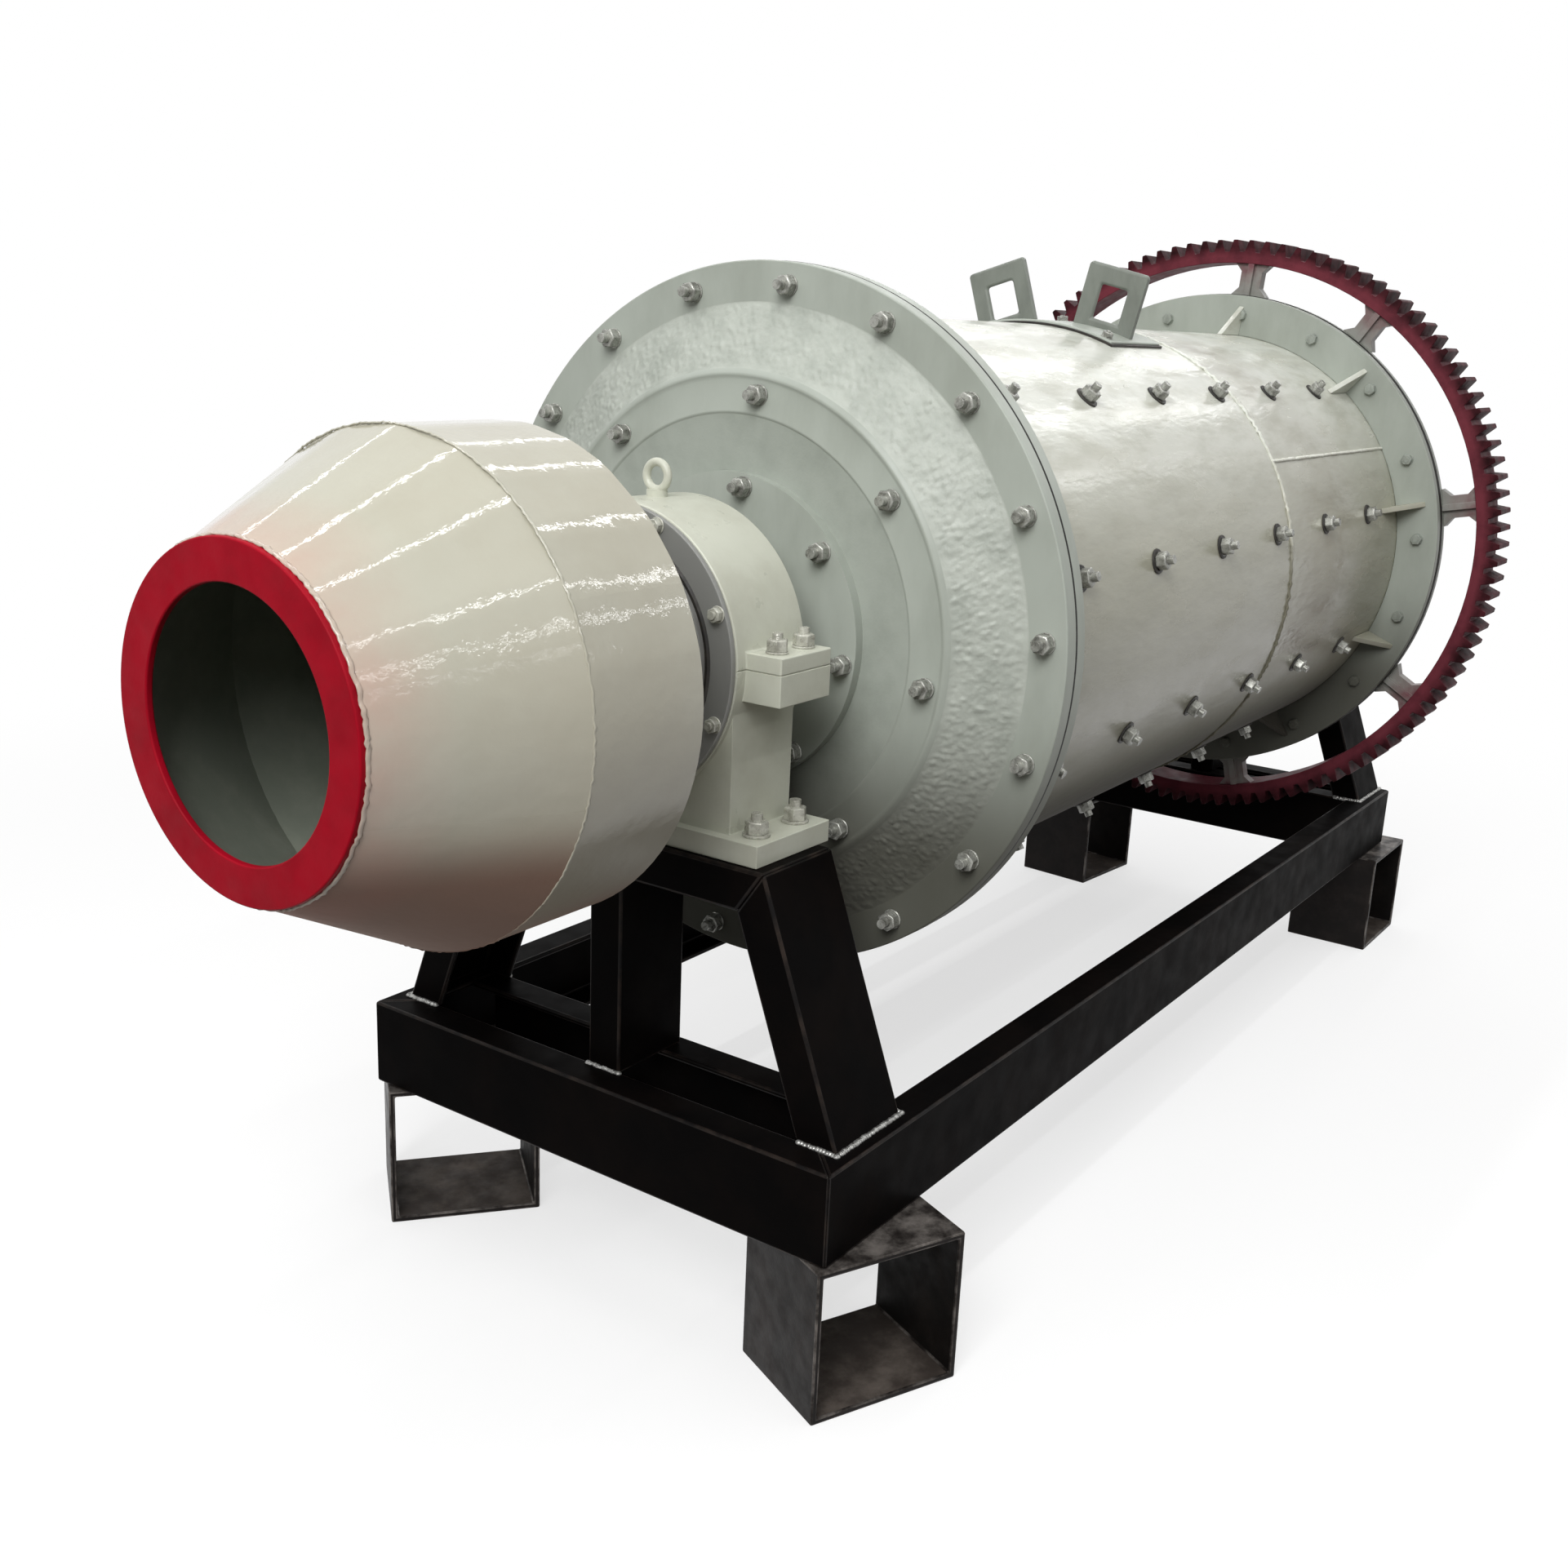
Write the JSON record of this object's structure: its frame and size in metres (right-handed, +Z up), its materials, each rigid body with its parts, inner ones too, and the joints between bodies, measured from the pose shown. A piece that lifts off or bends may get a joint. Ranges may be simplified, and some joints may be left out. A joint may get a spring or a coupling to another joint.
{
  "type": "ball mill",
  "caption": "Ball mill: hollow bolted drum with a cone-mouthed drum feeder, split pillow blocks and a spoked girth gear, turning on a welded channel stand with box-section feet.",
  "frame": {"origin": "on the floor, under the middle of the whole object's box", "axes": "+X along the mill axis from the feed mouth to the girth gear, +Z up"},
  "size_m": [3.2072, 1.368, 1.696],
  "materials": {
    "black_paint": "satin black paint",
    "mill_scale_steel": "raw steel with mill scale",
    "warm_grey_enamel": "glossy enamel",
    "sage_grey_enamel": "satin enamel on rough casting",
    "dark_grey_enamel": "satin enamel",
    "red_paint": "matt red paint",
    "maroon_paint": "maroon primer",
    "machined_steel": "turned steel"
  },
  "bodies": {
    "stand": {"side_beam_left": "black_paint", "side_beam_right": "black_paint", "front_cross_beam": "black_paint", "front_inner_beam": "black_paint", "front_leg_left": "black_paint", "front_leg_right": "black_paint", "front_post": "black_paint", "front_bearing_beam": "black_paint", "front_bearing_base": "warm_grey_enamel", "front_bearing_cap": "warm_grey_enamel", "front_bearing_cover": "dark_grey_enamel", "front_lifting_eye": "warm_grey_enamel", "rear_cross_beam": "black_paint", "rear_inner_beam": "black_paint", "rear_leg_left": "black_paint", "rear_leg_right": "black_paint", "rear_post": "black_paint", "rear_bearing_beam": "black_paint", "rear_bearing_base": "warm_grey_enamel", "rear_bearing_cap": "warm_grey_enamel", "rear_bearing_cover": "dark_grey_enamel", "rear_lifting_eye": "warm_grey_enamel", "foot_front_left": "mill_scale_steel", "foot_front_right": "mill_scale_steel", "foot_rear_left": "mill_scale_steel", "foot_rear_right": "mill_scale_steel"},
    "drum": {"shell": "warm_grey_enamel", "shell_flange_front": "sage_grey_enamel", "shell_flange_rear": "sage_grey_enamel", "shell_gussets": "warm_grey_enamel", "manhole_lid": "warm_grey_enamel", "manhole_handle_left": "warm_grey_enamel", "manhole_handle_right": "warm_grey_enamel", "front_end_cover": "sage_grey_enamel", "rear_end_cover": "sage_grey_enamel", "feed_trunnion": "machined_steel", "discharge_trunnion": "machined_steel", "feeder_back": "warm_grey_enamel", "feeder_barrel": "warm_grey_enamel", "feeder_cone": "warm_grey_enamel", "feeder_mouth_ring": "red_paint", "gear_rim": "maroon_paint", "gear_hub_ring": "warm_grey_enamel", "gear_spokes": "warm_grey_enamel"}
  },
  "joints": [
    {"name": "drum_spin", "type": "hinge", "parent": "stand", "child": "drum", "pos_m": [0, 0, 1.012], "axis": [1, 0, 0], "continuous": true}
  ]
}
